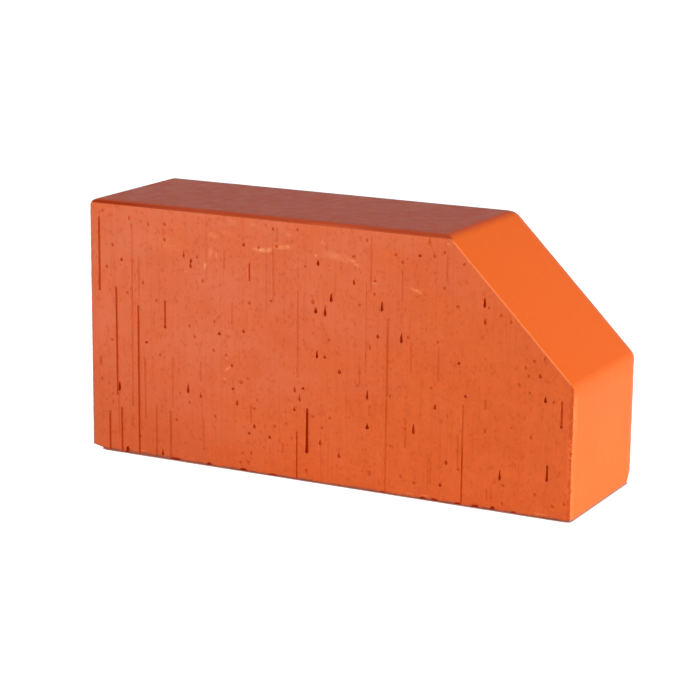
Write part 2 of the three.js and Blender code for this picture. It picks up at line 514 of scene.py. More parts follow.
def make_corner_break(name, noise_place):
    """A flat break across a foot corner."""
    deselect_all()
    bpy.ops.mesh.primitive_cube_add(size=2)
    block = new_shape(name)
    pick(block)
    bpy.ops.object.mode_set(mode="EDIT")
    bpy.ops.mesh.select_all(action="SELECT")
    bpy.ops.mesh.subdivide(number_cuts=BREAK_CUTS)
    bpy.ops.object.mode_set(mode="OBJECT")
    push_by_noise(block, name + "_noise", *BREAK_NOISE, place=noise_place)
    return block


def variants(make, name, count):
    """Several of a shape, each with its noise from another place."""
    places = [[index * step for step in VARIANT_STEP] for index in range(count)]
    return [make(f"{name}_{index}", place) for index, place in enumerate(places)]


# ---------------------------------------------------------------- marks


def stamp(shape, size, place, turn=0.0):
    """A copy of a mark's shape with its own mesh, sized and placed."""
    copy = new_piece(shape.name + "_copy", shape.data.copy())
    copy.scale = size
    copy.rotation_euler = (0, turn, 0)
    copy.location = place
    return copy


def near_face_drags(shapes, drags, kind, chance):
    widening, depth = kind
    marks = []
    for x, top, foot, width in drags:
        half = width / 2 * widening * chance.uniform(*WIDTH_SPREAD) * MM
        low = foot + FOOT_LINE if foot > OPEN_FOOT else BELOW_FOOT
        high = top + FOOT_LINE
        size = (half, half * depth + SKIN_SINK, (high - low) / 2 * MM)
        place = (x * MM, NEAR + SKIN_SINK / 2, (high + low) / 2 * MM)
        shape = chance.choice(shapes)
        marks.append(stamp(shape, size, place, chance.uniform(-DRAG_LEAN, DRAG_LEAN)))
    return marks


def near_face_pits(shapes, pits, kind, chance):
    widening, depth = kind
    marks = []
    for x, z, width, length in pits:
        half = width / 2 * widening * MM
        size = (half, half * depth + SKIN_SINK, length / 2 * PIT_WIDENING * MM)
        place = (x * MM, NEAR + SKIN_SINK / 2, (z + FOOT_LINE) * MM)
        marks.append(stamp(chance.choice(shapes), size, place))
    return marks


def scattered_pits(shapes, side, count, chance):
    """Small pits all over a wire-cut face, kept off its edges and off the cut corner."""
    marks = []
    while len(marks) < count:
        x = chance.uniform(LEFT + EDGE_MARGIN, RIGHT - EDGE_MARGIN)
        z = chance.uniform(EDGE_MARGIN, TOP - EDGE_MARGIN)
        if x + z > CUT_SUM - SLANT_MARGIN:
            continue
        half = (PIT_LEAST + PIT_MORE * chance.random() ** PIT_RARITY) * MM
        size = (half, half + SKIN_SINK, half * chance.uniform(*PIT_STRETCH))
        marks.append(stamp(chance.choice(shapes), size, (x, side * (FAR - SKIN_SINK / 2), z)))
    return marks


def lower_edge_chips(shapes, chance):
    marks = []
    for x, width, height in LOWER_CHIPS:
        size = (width / 2 * MM, height * CHIP_DEPTH * MM, (height + CHIP_RISE) * MM)
        shape = chance.choice(shapes)
        lean = chance.uniform(-CHIP_LEAN, CHIP_LEAN)
        marks.append(stamp(shape, size, (x * MM, NEAR, 0), lean))
    return marks


def arris_chips(shapes, chips, chance):
    marks = []
    for z, inset, width, height in chips:
        size = (width / 2 * MM, width / 2 * MM, height / 2 * MM)
        place = (RIGHT - inset * MM, NEAR + CRUMB_INSET, z * MM)
        shape = chance.choice(shapes)
        marks.append(stamp(shape, size, place, chance.uniform(-CRUMB_LEAN, CRUMB_LEAN)))
    return marks


def foot_tears(shapes):
    """Both wire-cut faces are torn along the foot, up to the broken corner of the near one."""
    size = (FOOT_LINE / 2 * MM, TEAR_DEPTH, (RIGHT - LEFT) / 2 - TEAR_STOP)
    near = stamp(shapes[0], size, (NEAR_TEAR_SHIFT, NEAR, 0), math.pi / 2)
    far = stamp(shapes[1], size, (0, FAR, 0), math.pi / 2)
    return [near, far]


def near_corner_break(shapes):
    """The near foot corner of the square end is broken low, and runs out under the brick."""
    break_off = stamp(shapes[0], NEAR_BREAK_HALF, NEAR_BREAK_PLACE, NEAR_BREAK_TURN)
    break_off.rotation_euler.x = NEAR_BREAK_LEAN
    return [break_off]


def far_corner_break(shapes):
    """The far foot corner of the other end is broken across."""
    place = Vector((RIGHT, FAR, 0)) - FAR_BREAK_INSET * FAR_BREAK_FACING
    break_off = stamp(shapes[0], FAR_BREAK_HALF, place)
    break_off.rotation_mode = "QUATERNION"
    break_off.rotation_quaternion = FAR_BREAK_FACING.to_track_quat("Z", "Y")
    return [break_off]


def far_face_drags(shapes, chance):
    """The hidden wire-cut face has the same kinds of mark, placed by chance."""
    marks = []
    for _ in range(FAR_DRAG_COUNT):
        x = chance.uniform(*FAR_DRAG_REACH)
        top = chance.uniform(*FAR_DRAG_TOPS) * MM
        length = min(top - FAR_DRAG_FOOT, chance.uniform(*FAR_DRAG_LENGTHS) * MM)
        half = chance.choice(FAR_DRAG_HALVES) * MM
        size = (half, half * FAR_DRAG_DEPTH + SKIN_SINK, length / 2)
        place = (x, FAR - SKIN_SINK / 2, top - length / 2)
        marks.append(stamp(chance.choice(shapes), size, place))
    return marks


def join_marks(marks, name, finish):
    deselect_all()
    for mark in marks:
        mark.select_set(True)
    bpy.context.view_layer.objects.active = marks[0]
    bpy.ops.object.transform_apply(location=True, rotation=True, scale=True)
    bpy.ops.object.join()
    joined = bpy.context.object
    joined.name = name
    joined.data.materials.clear()
    joined.data.materials.append(finish)
    return joined


def cut_away(skin, marks):
    """Cuts joined marks out of the skin; what they lay bare has their finish."""
    cut = skin.modifiers.new("cut_" + marks.name, "BOOLEAN")
    cut.operation = "DIFFERENCE"
    cut.solver = "MANIFOLD"
    cut.object = marks
    cut.material_mode = "TRANSFER"
    apply_modifier(skin, cut)
    bpy.data.objects.remove(marks)


def mark_brick(skin, clays):
    """Cuts all marks into the skin: deep ones show torn clay, slight ones only darken it with
    painted shade.
    """
    chance = random.Random(SEED)
    drops = variants(make_drop, "drop", 4)
    drags = variants(make_drag, "drag", 4)
    gouges = variants(make_gouge, "gouge", 2)
    crumbs = variants(make_crumb, "crumb", 4)
    tears = variants(make_foot_tear, "foot_tear", 2)
    breaks = variants(make_corner_break, "corner_break", 1)
    large_pits = [pit for pit in DEEP_PITS if pit[2] * pit[3] > LARGE_PIT]
    round_pits = [pit for pit in DEEP_PITS if pit[2] * pit[3] <= LARGE_PIT]
    rubbed_chips = [chip for chip in ARRIS_CHIPS if chip[0] in RUBBED_HEIGHTS]
    dark_chips = [chip for chip in ARRIS_CHIPS if chip[0] not in RUBBED_HEIGHTS]
    groups = (
        ("faint_drags", "grazed", near_face_drags(drags, FAINT_DRAGS, FAINT, chance)),
        ("fine_drags", "scraped", near_face_drags(drags, FINE_DRAGS, FINE, chance)),
        ("small_pits", "brushed", scattered_pits(crumbs, -1, NEAR_SMALL_PITS, chance)),
        ("shallow_pits", "brushed", near_face_pits(crumbs, SHALLOW_PITS, SHALLOW, chance)),
        ("deep_drags", "dragged", near_face_drags(drags, DEEP_DRAGS, DEEP, chance)),
        ("round_pits", "dragged", near_face_pits(drops, round_pits, ROUND, chance)),
        ("large_pits", "torn", near_face_pits(drops, large_pits, LARGE, chance)),
        ("gouges", "torn", near_face_drags(gouges, GOUGES, GOUGED, chance)),
        ("lower_chips", "torn", lower_edge_chips(crumbs, chance)),
        ("rubbed_arris_chips", "worn", arris_chips(crumbs, rubbed_chips, chance)),
        ("dark_arris_chips", "brushed", arris_chips(crumbs, dark_chips, chance)),
        ("foot_tears", "foot_dark", foot_tears(tears)),
        ("near_corner_break", "dragged", near_corner_break(breaks)),
        ("far_corner_break", "worn", far_corner_break(breaks)),
        ("far_drags", "dragged", far_face_drags(drags, chance)),
        ("far_pits", "dragged", scattered_pits(crumbs, 1, FAR_SMALL_PITS, chance)),
    )
    for name, finish, marks in groups:
        cut_away(skin, join_marks(marks, name, clays[finish]))
    for shape in drops + drags + gouges + crumbs + tears + breaks:
        bpy.data.objects.remove(shape)


# ---------------------------------------------------------------- finishes
#
# Patterns are laid out in millimetres on the piece's own Object coordinates. Clay colours run from
# the deepest to the palest.

PORE_RED = (0.330, 0.015, 0.0010)
ROLLED_EDGE_RED_SHADE = (0.320, 0.028, 0.0040)
ROLLED_EDGE_SHADE = (0.420, 0.055, 0.0170)
CLAY_TORN = (0.505, 0.039, 0.0030)
CLAY_DRAGGED = (0.555, 0.076, 0.0125)
CLAY_SLANT_SHADED = (0.640, 0.107, 0.0150)
CLAY_BRUSHED = (0.670, 0.106, 0.0260)
CLAY_DEEP = (0.680, 0.111, 0.0215)
CLAY_TOP_SHEEN = (0.690, 0.092, 0.0340)
CLAY_PLAIN = (0.700, 0.120, 0.0240)
CLAY_END_LIT = (0.700, 0.150, 0.0200)
CLAY_DUSTY_SHEEN = (0.712, 0.171, 0.0840)
CLAY_PALE = (0.800, 0.200, 0.0700)
CLAY_SCUFFED = (0.930, 0.360, 0.1500)
PAINTED_EDGE_SHADE = (0.300, 0.170, 0.1400)
FOOT_DARK = (0.300, 0.088, 0.0600)
FOOT_DARKEST = (0.190, 0.055, 0.0400)

# Slight marks have the colour round them, darkened this much as painted shade in their shallow
# grooves.
GRAZED_SHADE = (0.945, 0.83, 0.74)
SCRAPED_SHADE = (0.885, 0.74, 0.60)

# Grains: the size of the lumps in mm along X, Y and Z, then their detail and roughness.
CLOUDS = ((26, 26, 26), 2.0)
MOTTLE = ((5, 5, 5), 3.0, 0.6)
FINE_GRAIN = ((0.55, 0.55, 0.55), 2.0, 0.7)
DUST_SHEEN_CLOUDS = ((34, 34, 22), 3.0, 0.6)
BROAD_STREAKS = ((1.6, 9, 70), 2.0, 0.6)
THIN_STREAKS = ((0.75, 9, 55), 1.0, 0.5)
PORES = ((0.62, 0.62, 1.0), 1.0, 0.5)
SPECKS = ((1.5, 1.5, 1.9), 2.0, 0.5)
DIE_STREAKS = ((2.2, 90, 2.2), 2.0, 0.6)
WANDER = ((2.6, 2.6, 2.6), 3.0)
SCUFF_BREAKS = ((1.4, 1.4, 1.1), 3.0, 0.6)
MARK_CRUMBS = ((0.4, 0.4, 0.6), 3.0, 0.7)

# Fades: where each finish starts and ends, in mm or in a grain's own values, and its strength at
# both, which is 1 and 0 where none is given.
WIRE_SKIN = (0.35, 0.75)
SLANT_SIDE = (0.8, 1.6)
ARRIS_WANDER = (0.3, 0.7, -0.7, 0.7)

CLOUD_MIX = (0.35, 0.65, 0.0, 1.0)
WIRE_MOTTLE = (0.3, 0.7, 0.96, 1.04)
DIE_MOTTLE = (0.3, 0.7, 0.99, 1.01)
FINE_SHADE = (0.25, 0.75, 0.96, 1.04)
END_SIDE = (0.5, 2.5)
END_LIT_YELLOWER = (5, 50, 0.50, 0.15)
END_UNDER_SLANT_SHADE = (49, 57.5, 0.0, 0.85)
SLANT_SHADE_STRENGTH = 0.8

# Dust and painted sheen thicken with the first value below times the height, less the second times
# X.
DUST_SHEEN_RISE = 0.8
DUST_SHEEN_SIDE = 0.7
DUST_SHEEN_ACROSS = (-30, 130, 0.16, 0.76)
DUST_SHEEN_UP = (5, 45, 0.75, 1.0)
DUST_SHEEN_LUMPS = (0.35, 0.65, 0.68, 1.2)
CORNER_RISE = 2.0
DUST_SHEEN_OFF_CORNER = (-90, 25, 0.55, 1.0)
CORNER_SHADE = (-90, 20, 0.12, 0.0)

LINES = (0.64, 0.74, 0.0, 1.0)
LINE_STRENGTH = 0.30
STREAKS = (0.45, 0.75, 0.0, 0.10)
PORE_HOLES = (0.70, 0.78, 0.0, 0.4)
SPECK_SPOTS = (0.56, 0.72, 0.0, 0.30)
DIE_LINES = (0.5, 0.75, 0.0, 0.05)

TOP_SHEEN = (0.3, 1.2, 0.8, 0.0)
ROLL_FROM_TOP = (0.15, 0.55, 0.0, 1.0)
ROLL_FOOT = (1.45, 1.75)
ROLL_BACK = (0.9, 2.2)
ROLL_SHADE_GAP_MIDDLE = 7.0
ROLL_SHADE_GAP = (6, 22, 0.7, 1.0)
ROLL_SHADE_STRENGTH = 0.9
ROLL_REDDER_SHADE = (8, 60, 0.8, 0.0)
SLANT_ARRIS = (0.35, 0.7)
SLANT_ARRIS_TOP = (1.8, 3.0, 0.0, 0.7)

NICK_BACK = (0.7, 1.3)
NICK_IN = (0.15, 0.35, 0.0, 1.0)
RAGGED_ARRIS = (0.8, 1.9, 0.75, 0.0)
PALE_BACK = (1.5, 6.0, 0.45, 0.0)
PALE_IN = (0.5, 1.5)
PALE_LOWER = (34, 40, 1.0, 1.5)
PALE_UPPER = (52, 57, 1.0, 0.2)

EDGE_SHADE_TOP = (0.3, 1.2)
EDGE_SHADE_TOP_BACK = (1.5, 6.0, 0.5, 0.0)
EDGE_SHADE_RIM = (0.8, 3.4, 0.42, 0.0)
EDGE_SHADE_OFF_WIRE = (0.45, 0.3)
EDGE_SHADE_SQUARE_END = (0.4, 2.0, 0.4, 0.0)

FOOT_DARK_HIGHER = (-70, -50, 0.4, 0.0)
FOOT_DARK_FADE = (0.6, 1.4, 0.8, 0.0)
FOOT_DARK_WANDER = 0.5
DIE_FOOT_SHADE = (0.3, 2.0, 0.3, 0.0)

SCUFF_ALONG = (0.2, 1.0)
SCUFF_ACROSS = (0.1, 1.0)
SCUFF_GRAIN = (0.35, 0.65, 0.35, 1.0)

# The die leaves a closer, smoother skin than the wire.
POLISH = (0.0, 1.0, 0.33, 0.80)
POLISH_WEAR = (0.3, 0.7, -0.05, 0.05)
SHEEN = 0.02
MARK_ROUGHNESS = 0.95
CRUMB_MIX = (0.35, 0.7, 0.0, 1.0)

# Relief, in mm.
OPEN_GRAIN = (0.0, 1.0, 0.0, 0.05)
STREAK_RELIEF = 0.05
LINE_SHARE = 0.3
PORE_DEPTH = -0.12
CRUMB_RELIEF = 0.08

# The sockets of a mix node that take its two colours.
MIXED_COLOURS = (6, 7)

# Pale scuffs on the near face: distance from its middle, height, length and width in mm, slope
# in degrees, strength.
SCUFFS = (
    (-29.2, 101.8, 13, 3.2, 3, 0.90), (-18.5, 104.0, 13, 2.8, 8, 0.50),
    (-58.9, 91.4, 4.6, 2.2, 82, 0.60), (-54.5, 105.9, 8, 4.0, -12, 0.30),
    (-44.6, 112.6, 5, 4.5, 0, 0.25), (8.0, 102.4, 19, 5.0, -9, 0.30),
    (15.0, 101.2, 5.5, 2.2, -10, 0.70), (17.3, 99.7, 4.5, 2.6, -25, 0.40),
    (46.2, 91.4, 7.5, 2.2, -16, 0.60), (-47.6, 50.5, 3, 1.4, -62, 0.30),
    (-47.4, 45.6, 5, 2.0, 42, 0.50), (-2.7, 101.8, 2.5, 2.0, 30, 0.45),
    (26.0, 92.4, 4, 1.8, 0, 0.35), (-16.0, 109.7, 5, 3.0, 0, 0.22), (-33.0, 112.6, 9, 3.0, 0, 0.22),
    (0.8, 108.0, 4, 3.0, 0, 0.25), (61.0, 113.0, 3, 1.6, 0, 0.45), (-80.0, 100.0, 26, 12, -8, 0.14),
    (45.0, 0.7, 5, 1.0, 0, 0.40), (52.0, 0.8, 6, 1.1, 0, 0.50), (106.0, 0.6, 9, 1.0, 0, 0.45),
    (-92.0, 1.2, 4, 1.2, 0, 0.45), (-96.5, 0.8, 3, 1.0, 0, 0.30), (-56.0, 97.8, 7, 3.4, 78, 0.32),
    (-52.8, 97.0, 6, 2.4, 85, 0.25), (-47.5, 107.5, 10, 3.4, -10, 0.16),
    (-69.0, 87.8, 2, 1.4, 0, 0.40), (-48.4, 40.6, 3.5, 1.6, 0, 0.35),
    (-41.0, 39.0, 2, 1.4, 0, 0.30),
)


def new_node(tree, kind, inputs=(), **settings):
    """A node with its settings, and its sockets given by name or index as values or links."""
    node = tree.nodes.new(kind)
    for name, value in settings.items():
        setattr(node, name, value)
    for name, value in dict(inputs).items():
        if is_socket(value):
            tree.links.new(value, node.inputs[name])
        else:
            node.inputs[name].default_value = value
    return node


def is_socket(value):
    return isinstance(value, bpy.types.NodeSocket)


def fed_node(kind, inputs, **settings):
    """A new node in the tree of the sockets that feed it."""
    tree = next(value.id_data for value in inputs.values() if is_socket(value))
    return new_node(tree, kind, inputs, **settings)


def feed(socket, value):
    socket.id_data.links.new(value, socket)


def calc(operation, first, second=0.0):
    return fed_node("ShaderNodeMath", {0: first, 1: second}, operation=operation).outputs[0]


def times(first, *others):
    for other in others:
        first = calc("MULTIPLY", first, other)
    return first


def plus(first, second):
    return calc("ADD", first, second)


def minus(first, second):
    return calc("SUBTRACT", first, second)


def larger(first, second):
    return calc("MAXIMUM", first, second)


def absolute(value):
    return calc("ABSOLUTE", value)


def span(value, start, end, low=1.0, high=0.0):
    """`low` where the value is at `start` and beyond, `high` at `end`, smooth between."""
    inputs = {"Value": value, "From Min": start, "From Max": end, "To Min": low, "To Max": high}
    return fed_node("ShaderNodeMapRange", inputs, interpolation_type="SMOOTHSTEP").outputs[0]


def tint(factor, under, over, mode="MIX"):
    inputs = {0: factor}
    for index, colour in zip(MIXED_COLOURS, (under, over)):
        inputs[index] = colour if is_socket(colour) else (*colour, 1)
    return fed_node("ShaderNodeMix", inputs, data_type="RGBA", blend_type=mode).outputs[2]


def grain(point, size, detail=2.0, roughness=0.5):
    """Noise whose lumps are about `size` mm along X, Y and Z."""
    scale = [1 / length for length in size]
    stretched = fed_node("ShaderNodeMapping", {"Vector": point, "Scale": scale}).outputs[0]
    inputs = {"Vector": stretched, "Scale": 1.0, "Detail": detail, "Roughness": roughness}
    return fed_node("ShaderNodeTexNoise", inputs).outputs[0]


def scaled(vector, factor):
    inputs = {0: vector, "Scale": factor}
    return fed_node("ShaderNodeVectorMath", inputs, operation="SCALE").outputs[0]


def shade_by(colour, pattern, low, high, dark, light):
    """Multiplies a colour by `dark` where the pattern is low and by `light` where it is high."""
    return scaled(colour, span(pattern, low, high, dark, light))


def point_in_mm(tree):
    return scaled(new_node(tree, "ShaderNodeTexCoord").outputs["Object"], 1 / MM)


def new_clay(name):
    clay = bpy.data.materials.new(name)
    clay.use_nodes = True
    shader = clay.node_tree.nodes["Principled BSDF"]
    shader.inputs["Specular IOR Level"].default_value = SHEEN
    return clay, shader


def raise_relief(shader, height):
    """Bump from a height in mm."""
    bump = fed_node("ShaderNodeBump", {"Strength": 1.0, "Distance": MM, "Height": height})
    feed(shader.inputs["Normal"], bump.outputs[0])


class Place:
    """Where on the brick a point of the skin lies, as sockets, in mm, and the grains it shares."""

    def __init__(self, tree):
        self.point = point_in_mm(tree)
        axes = fed_node("ShaderNodeSeparateXYZ", {0: self.point})
        self.x, self.y, self.z = (axes.outputs[name] for name in "XYZ")
        self.near_side = calc("LESS_THAN", self.y, 0.0)
        self.from_wire = minus(FAR / MM, absolute(self.y))
        self.from_near = minus(self.y, NEAR / MM)
        self.from_far = minus(FAR / MM, self.y)
        self.from_top = minus(TOP / MM, self.z)
        self.from_end = minus(RIGHT / MM, self.x)
        self.from_square_end = minus(self.x, LEFT / MM)
        self.wire_cut = span(self.from_wire, *WIRE_SKIN)
        self.pressed = minus(1.0, self.wire_cut)
        past_cut = minus(CUT_SUM / MM, plus(self.x, self.z))
        self.along_cut = span(past_cut, *SLANT_SIDE)
        self.off_lower_left = plus(self.x, times(self.z, CORNER_RISE))
        self.mottle = grain(self.point, *MOTTLE)
        self.fine = grain(self.point, *FINE_GRAIN)
        self.thin = grain(self.point, *THIN_STREAKS)
        self.line = times(span(self.thin, *LINES), self.wire_cut)
        pores = grain(self.point, *PORES)
        self.pore = times(span(pores, *PORE_HOLES), self.wire_cut)
        self.wander = span(grain(self.point, *WANDER), *ARRIS_WANDER)


def kiln_colour_and_light(at):
    """Soft clouds from the kiln and the fine grain of the clay, with painted light making the cut
    end yellower and painted shade on the slant.
    """
    clouds = span(grain(at.point, *CLOUDS), *CLOUD_MIX)
    colour = tint(clouds, CLAY_DEEP, CLAY_PLAIN)
    smooth = shade_by(colour, at.mottle, *DIE_MOTTLE)
    colour = tint(at.wire_cut, smooth, shade_by(colour, at.mottle, *WIRE_MOTTLE))
    on_end = times(span(at.from_end, *END_SIDE), at.pressed)
    # Painted warm light on the cut end, strongest low down.
    colour = tint(times(on_end, span(at.z, *END_LIT_YELLOWER)), colour, CLAY_END_LIT)
    # Painted shade: the slant, and the cut end just below it, are drawn darker.
    below_slant = times(on_end, span(at.z, *END_UNDER_SLANT_SHADE))
    slanted = larger(below_slant, times(at.along_cut, SLANT_SHADE_STRENGTH))
    return shade_by(tint(slanted, colour, CLAY_SLANT_SHADED), at.fine, *FINE_SHADE)


def lay_dust_and_sheen(at, colour):
    """Dust and painted sheen on the wire-cut faces, thicker towards the top of the square end;
    painted shade low at that end.
    """
    upper_left = minus(times(at.z, DUST_SHEEN_RISE), times(at.x, DUST_SHEEN_SIDE))
    # Dust, with a painted sheen laid into its pinker colour, strongest towards the upper left.
    dust_and_sheen = times(
        span(upper_left, *DUST_SHEEN_ACROSS),
        span(at.z, *DUST_SHEEN_UP),
        span(at.off_lower_left, *DUST_SHEEN_OFF_CORNER),
        span(grain(at.point, *DUST_SHEEN_CLOUDS), *DUST_SHEEN_LUMPS),
        at.wire_cut,
    )
    colour = tint(dust_and_sheen, colour, CLAY_DUSTY_SHEEN)
    # Painted shade: the wire-cut faces are drawn darker towards the lower corner at the square end.
    corner_shade = times(span(at.off_lower_left, *CORNER_SHADE), at.wire_cut)
    return tint(corner_shade, colour, FOOT_DARK)


def draw_streaks(at, colour):
    """Streaks that the wire drew down the face, broad and faint or thin and darker."""
    broad = span(grain(at.point, *BROAD_STREAKS), *STREAKS)
    colour = tint(times(broad, at.wire_cut), colour, CLAY_TORN)
    return tint(times(at.line, LINE_STRENGTH), colour, CLAY_TORN)


def dot_pores(at, colour):
    """Pores too small to be cut into the skin, drawn out a little by the wire: dark red clay with
    painted shade in them.
    """
    colour = tint(at.pore, colour, PORE_RED)
    specks = span(grain(at.point, *SPECKS), *SPECK_SPOTS)
    return tint(times(specks, at.wire_cut), colour, CLAY_TORN)


def die_streaks_and_top_sheen(at, colour):
    """Faint streaks along the way the clay came out, and a purple tint on the top that is painted
    cool sheen.
    """
    lines = span(grain(at.point, *DIE_STREAKS), *DIE_LINES)
    colour = tint(times(lines, at.pressed), colour, CLAY_DEEP)
    # Painted cool sheen on the top face.
    return tint(span(at.from_top, *TOP_SHEEN), colour, CLAY_TOP_SHEEN)


def shade_rolled_top_edge(at, colour):
    """Painted shade on the top edge that the wire rolled over: dark, and redder near the square
    end.
    """
    from_shade_gap = absolute(minus(at.x, ROLL_SHADE_GAP_MIDDLE))
    rolled = times(
        span(at.from_top, *ROLL_FROM_TOP),
        span(at.from_top, *ROLL_FOOT),
        span(at.from_wire, *ROLL_BACK),
        span(from_shade_gap, *ROLL_SHADE_GAP),
    )
    # Painted shade along the rolled top edge, a little weaker over a stretch near its middle.
    colour = tint(times(rolled, ROLL_SHADE_STRENGTH), colour, ROLLED_EDGE_SHADE)
    redder = times(rolled, span(at.from_square_end, *ROLL_REDDER_SHADE))
    return tint(redder, colour, ROLLED_EDGE_RED_SHADE)


def wear_and_light_arrises(at, colour):
    """The slant's arris is rubbed pale and painted with a highlight; the one below it is torn
    ragged and dark, and the end face beside the near edge is drawn paler."""
    rubbed = times(
        span(at.from_wire, *SLANT_ARRIS),
        at.along_cut,
        span(at.from_top, *SLANT_ARRIS_TOP),
    )
    # Painted highlight along the slant's arris, together with its rubbed wear.
    colour = tint(rubbed, colour, CLAY_PALE)
    nicked = times(span(at.from_wire, *NICK_BACK), span(at.from_end, *NICK_IN))
    ragged = times(span(plus(at.from_end, at.wander), *RAGGED_ARRIS), larger(at.wire_cut, nicked))
    colour = tint(ragged, colour, CLAY_DRAGGED)
    paler = times(
        span(at.from_near, *PALE_BACK),
        at.pressed,
        span(at.from_end, *PALE_IN),
        span(at.z, *PALE_LOWER),
        span(at.z, *PALE_UPPER),
    )
    return tint(paler, colour, CLAY_PALE)


def shade_edges(at, colour):
    """Painted shade along the far edges and down the square end."""
    back = span(at.from_far, *EDGE_SHADE_TOP_BACK)
    on_top = times(span(at.from_top, *EDGE_SHADE_TOP), back)
    far_rim = larger(on_top, span(at.from_far, *EDGE_SHADE_RIM))
    far_rim = times(far_rim, span(at.from_far, *EDGE_SHADE_OFF_WIRE))
    square_rim = span(at.from_square_end, *EDGE_SHADE_SQUARE_END)
    return tint(larger(far_rim, square_rim), colour, PAINTED_EDGE_SHADE)


def darken_foot(at, colour):
    """A dark band round the foot, with a ragged upper edge, higher near the square end; painted
    shade along the foot of the narrow faces.
    """
    ragged = plus(at.z, times(at.wander, FOOT_DARK_WANDER))
    above_foot = minus(ragged, span(at.x, *FOOT_DARK_HIGHER))
    # The wire-cut faces are drawn darker along the foot.
    at_foot = times(span(above_foot, *FOOT_DARK_FADE), at.wire_cut)
    colour = tint(at_foot, colour, FOOT_DARK)
    # Painted shade along the foot of the narrow faces.
    die_foot = times(span(at.z, *DIE_FOOT_SHADE), at.pressed)
    return tint(die_foot, colour, PAINTED_EDGE_SHADE)


def scuff(at, spot):
    """A pale rubbed streak on the near face, soft at its ends."""
    x, z, length, width, slope, strength = spot
    turn = {
        "Vector": at.point,
        "Location": (x, 0, z + FOOT_LINE),
        "Rotation": (0, -math.radians(slope), 0),
        "Scale": (length / 2, 1, width / 2),
    }
    local = fed_node("ShaderNodeMapping", turn, vector_type="TEXTURE").outputs[0]
    axes = fed_node("ShaderNodeSeparateXYZ", {0: local})
    along = span(absolute(axes.outputs["X"]), *SCUFF_ALONG)
    across = span(absolute(axes.outputs["Z"]), *SCUFF_ACROSS)
    return times(along, across, strength)


def scuff_face(at, colour):
    """All scuffs of the near face, broken up by its grain."""
    scuffs = scuff(at, SCUFFS[0])
    for spot in SCUFFS[1:]:
        scuffs = larger(scuffs, scuff(at, spot))
    broken = span(grain(at.point, *SCUFF_BREAKS), *SCUFF_GRAIN)
    return tint(times(scuffs, broken, at.near_side), colour, CLAY_SCUFFED)


def skin_relief(at):
    """Open grain, drag lines and pores on the wire-cut faces."""
    open_grain = times(at.fine, span(at.wire_cut, *OPEN_GRAIN))
    drag = times(at.thin, at.wire_cut, STREAK_RELIEF)
    sunk = times(plus(at.pore, times(at.line, LINE_SHARE)), PORE_DEPTH)
    return plus(plus(open_grain, drag), sunk)


def fired_clay():
    """Wire-cut on the two large faces, smooth from the die on the narrow ones."""
    clay, shader = new_clay("fired_clay")
    at = Place(clay.node_tree)
    colour = kiln_colour_and_light(at)
    layers = (
        lay_dust_and_sheen, draw_streaks, dot_pores, die_streaks_and_top_sheen, shade_rolled_top_edge, wear_and_light_arrises, shade_edges,
        darken_foot, scuff_face,
    )
    for layer in layers:
        colour = layer(at, colour)
    feed(shader.inputs["Base Color"], colour)
    polish = plus(span(at.wire_cut, *POLISH), span(at.mottle, *POLISH_WEAR))
    feed(shader.inputs["Roughness"], polish)
    raise_relief(shader, skin_relief(at))
    return clay


def darker_clay(clay, name, shade):
    """The skin's own colours, darkened as painted shade where the wire only grazed it."""
    darker = clay.copy()
    darker.name = name
    base = darker.node_tree.nodes["Principled BSDF"].inputs["Base Color"]
    feed(base, tint(1.0, base.links[0].from_socket, shade, "MULTIPLY"))
    return darker


def rough_clay(name, dark, light):
    """The rough inside of the marks, darker than the skin."""
    clay, shader = new_clay(name)
    crumbs = grain(point_in_mm(clay.node_tree), *MARK_CRUMBS)
    colour = tint(span(crumbs, *CRUMB_MIX), dark, light)
    feed(shader.inputs["Base Color"], colour)
    shader.inputs["Roughness"].default_value = MARK_ROUGHNESS
    raise_relief(shader, times(crumbs, CRUMB_RELIEF))
    return clay


def mix_clays():
    """Every finish of the skin and its marks, by name."""
    clay = fired_clay()
    return {
        "fired": clay,
        "torn": rough_clay("torn_clay", PORE_RED, CLAY_TORN),
        "dragged": rough_clay("dragged_clay", CLAY_TORN, CLAY_DRAGGED),
        "brushed": rough_clay("brushed_clay", CLAY_DRAGGED, CLAY_BRUSHED),
        "scraped": darker_clay(clay, "scraped_clay", SCRAPED_SHADE),
        "grazed": darker_clay(clay, "grazed_clay", GRAZED_SHADE),
        "worn": rough_clay("worn_clay", CLAY_PLAIN, CLAY_PALE),
        "foot_dark": rough_clay("foot_dark_clay", FOOT_DARKEST, FOOT_DARK),
    }


def finish_brick():
    skin = skin_from_solid()
    for axis in (0, 2, 1):
        score(skin, axis, SCORE_STEP)
    divide_wire_face(skin, -1, NEAR_FACE_CUTS)
    divide_wire_face(skin, 1, FAR_FACE_CUTS)
    roughen_skin(skin)
    clays = mix_clays()
    skin.data.materials.append(clays["fired"])
    mark_brick(skin, clays)
    pick(skin)
    bpy.ops.object.shade_smooth_by_angle(angle=SMOOTH_WITHIN)
    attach(skin, "root")
    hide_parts("brick")


# ---------------------------------------------------------------- stage

WHITE = (1, 1, 1)
FLOOR_WHITE = (0.82, 0.82, 0.82)
FLOOR_SIZE = 8
FLOOR_GLOW = 0.86

# Shade under the brick: how far it reaches, how open the air is where it starts and ends, and
# where along X, in metres, it lets up beside the cut end and under the broken corner.
CONTACT_SHADE = (0.30, 0.19, 0.16)
CONTACT_REACH = 2.1 * MM
CONTACT_OPEN = (0.45, 0.9, 0.0, 1.0)
LIGHT_BY_END = (RIGHT - 0.5 * MM, RIGHT + 0.7 * MM, 0.0, 0.97)
LIGHT_BY_BREAK = (LEFT + 5 * MM, LEFT + 8 * MM, 0.9, 0.0)

